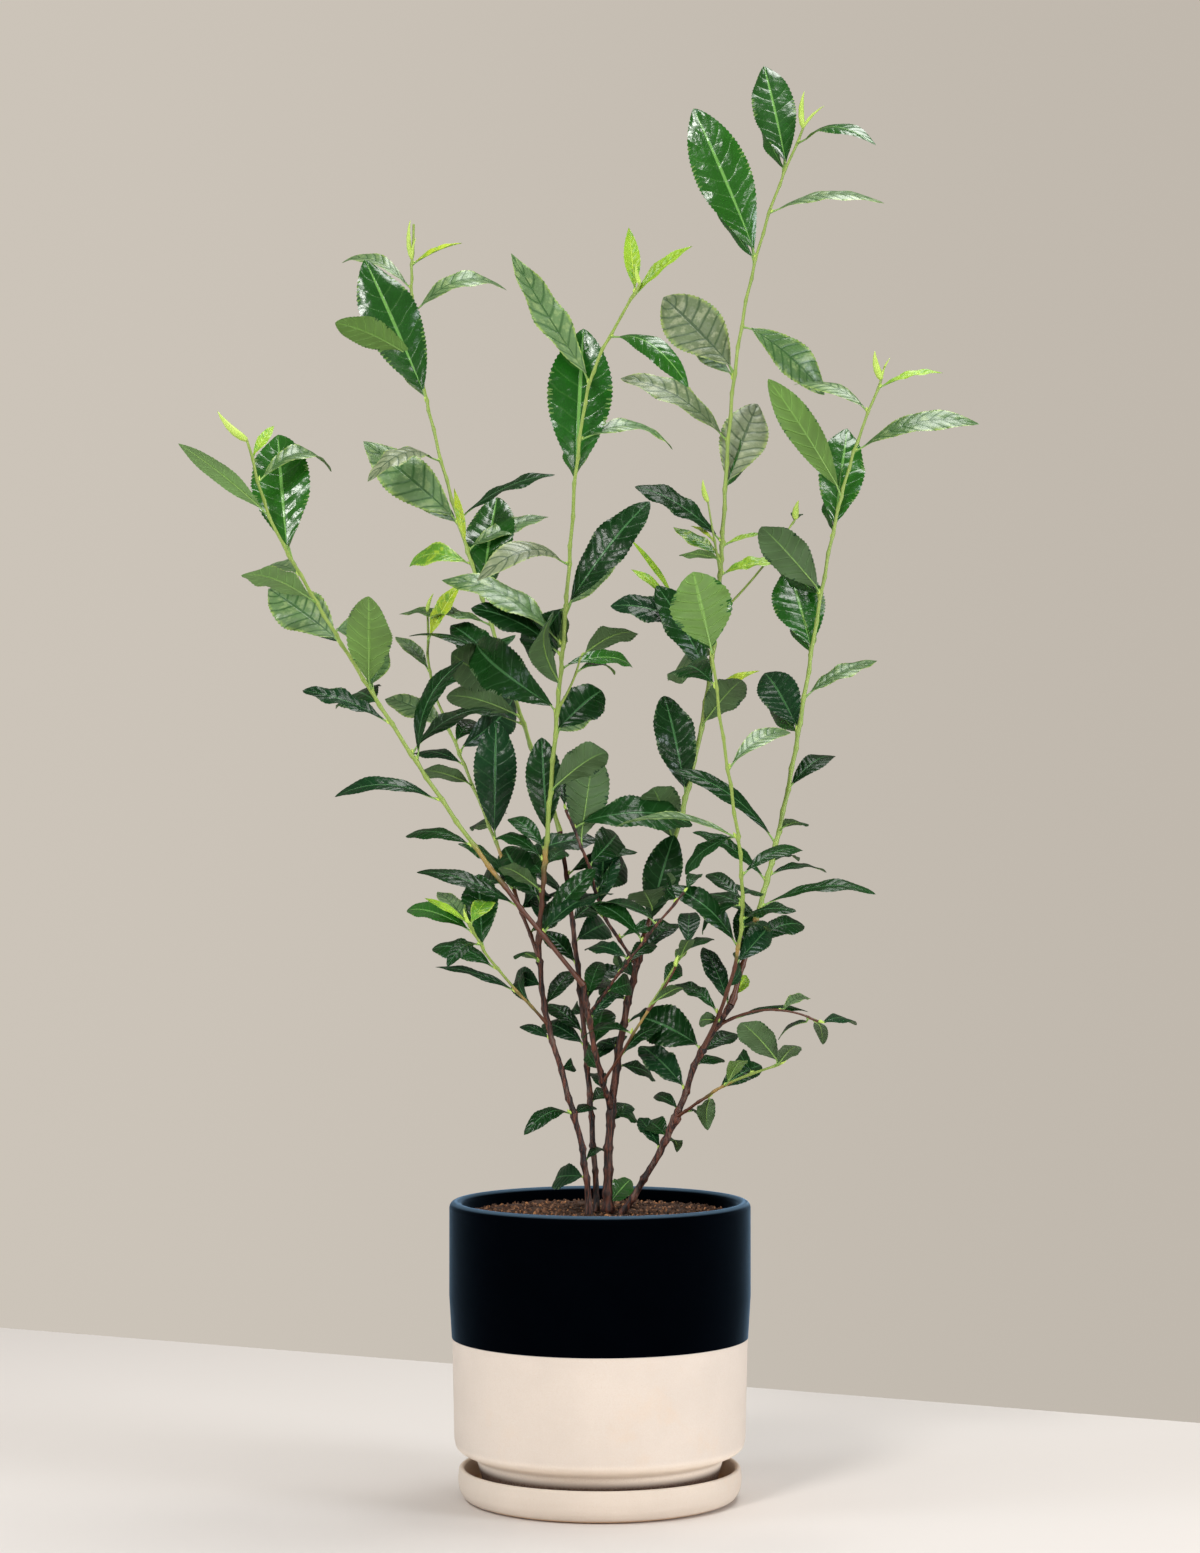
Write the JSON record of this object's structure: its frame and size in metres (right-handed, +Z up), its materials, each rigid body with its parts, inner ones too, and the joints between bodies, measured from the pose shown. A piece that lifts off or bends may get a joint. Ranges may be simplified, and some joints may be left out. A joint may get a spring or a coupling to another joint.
{
  "type": "potted tea bush",
  "caption": "Young tea bush with open leafy shoots, in a round two-tone pot on its saucer.",
  "frame": {"origin": "centre of the saucer's flat underside, on the surface it stands on", "axes": "+Z up along the pot's axis, +X to the viewer's right, +Y to the back"},
  "size_m": [0.4772, 0.3026, 0.8783],
  "materials": {
    "clay": "matte",
    "glaze": "satin",
    "soil": "matte",
    "bark": "satin",
    "green_bark": "satin",
    "leaf": "satin",
    "young_leaf": "satin"
  },
  "bodies": {
    "root": {"saucer": "clay", "pot": "glaze", "soil": "soil", "stem_left": "bark", "stem_back": "bark", "stem_centre": "bark", "stem_right": "bark", "stem_front": "bark", "branch_centre_up": "bark", "twig_left_low": "bark", "twig_centre": "bark", "twig_low_centre": "bark", "twig_right_low": "bark", "shoot_centre": "green_bark", "shoot_left_inner": "green_bark", "shoot_back": "green_bark", "branch_left": "green_bark", "shoot_tall": "green_bark", "shoot_right": "green_bark", "shoot_right_inner": "green_bark", "leaves_left_tip": "young_leaf", "leaves_left_upper": "leaf", "leaves_left_mid": "leaf", "leaves_left_low": "leaf", "leaves_left_foot": "leaf", "leaves_back_tip": "young_leaf", "leaves_back_high": "leaf", "leaves_back_upper": "leaf", "leaves_back_mid": "leaf", "leaves_back_low": "leaf", "leaves_centre_tip": "young_leaf", "leaves_centre_high": "leaf", "leaves_centre_upper": "leaf", "leaves_centre_mid": "leaf", "leaves_centre_low": "leaf", "leaves_centre_foot": "leaf", "leaves_inner_left_tip": "leaf", "leaves_inner_left_low": "leaf", "leaves_centre_up": "leaf", "leaves_tall_tip": "young_leaf", "leaves_tall_high": "leaf", "leaves_tall_upper": "leaf", "leaves_tall_mid": "leaf", "leaves_tall_low": "young_leaf", "leaves_tall_foot": "leaf", "leaves_tall_base": "leaf", "leaves_right_tip": "young_leaf", "leaves_right_upper": "leaf", "leaves_right_mid": "leaf", "leaves_right_low": "leaf", "leaves_right_foot": "leaf", "leaves_right_base": "leaf", "leaves_inner_right_tip": "leaf", "leaves_inner_right_mid": "leaf", "leaves_right_low_twig": "leaf", "leaves_centre_twig": "leaf", "leaves_low_centre": "leaf", "leaves_left_low_twig": "leaf"}
  },
  "joints": []
}
